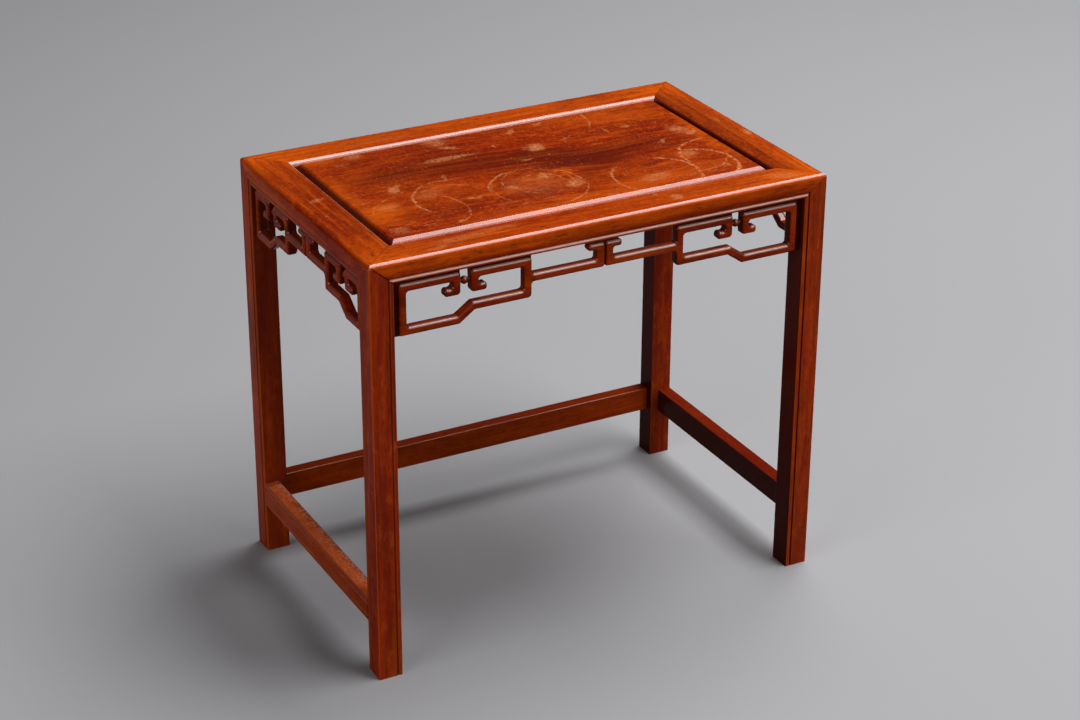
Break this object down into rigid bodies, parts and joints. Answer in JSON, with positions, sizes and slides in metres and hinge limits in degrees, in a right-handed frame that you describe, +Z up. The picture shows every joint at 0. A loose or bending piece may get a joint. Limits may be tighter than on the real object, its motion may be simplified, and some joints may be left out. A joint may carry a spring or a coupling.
{
  "type": "side table",
  "caption": "Low rosewood side table with a framed floating-panel top, square legs, pierced scroll aprons and low stretchers, to hold a lamp, a tea tray or ornaments.",
  "frame": {"origin": "on the floor under the middle of the top", "axes": "+X along the length to the right, +Y to the back (the side with a stretcher), +Z up"},
  "size_m": [0.5624, 0.3516, 0.5],
  "materials": {
    "frame_wood": "glossy clear lacquer on orange-red rosewood, worn on top",
    "panel_wood": "glossy clear lacquer on orange-red rosewood with cup rings",
    "batten_wood": "plain planed wood",
    "leg_wood": "glossy clear lacquer on red-brown rosewood",
    "stretcher_wood": "glossy clear lacquer on red-brown rosewood, worn on top",
    "fret_wood": "glossy clear lacquer on red-brown rosewood"
  },
  "bodies": {
    "root": {"front_rail": "frame_wood", "back_rail": "frame_wood", "left_rail": "frame_wood", "right_rail": "frame_wood", "panel": "panel_wood", "batten_left": "batten_wood", "batten_right": "batten_wood", "leg_front_left": "leg_wood", "leg_front_right": "leg_wood", "leg_back_left": "leg_wood", "leg_back_right": "leg_wood", "stretcher_left": "stretcher_wood", "stretcher_right": "stretcher_wood", "stretcher_back": "stretcher_wood", "fret_front_left": "fret_wood", "fret_front_right": "fret_wood", "fret_back_left": "fret_wood", "fret_back_right": "fret_wood", "fret_left_front": "fret_wood", "fret_left_back": "fret_wood", "fret_right_front": "fret_wood", "fret_right_back": "fret_wood"}
  },
  "joints": []
}
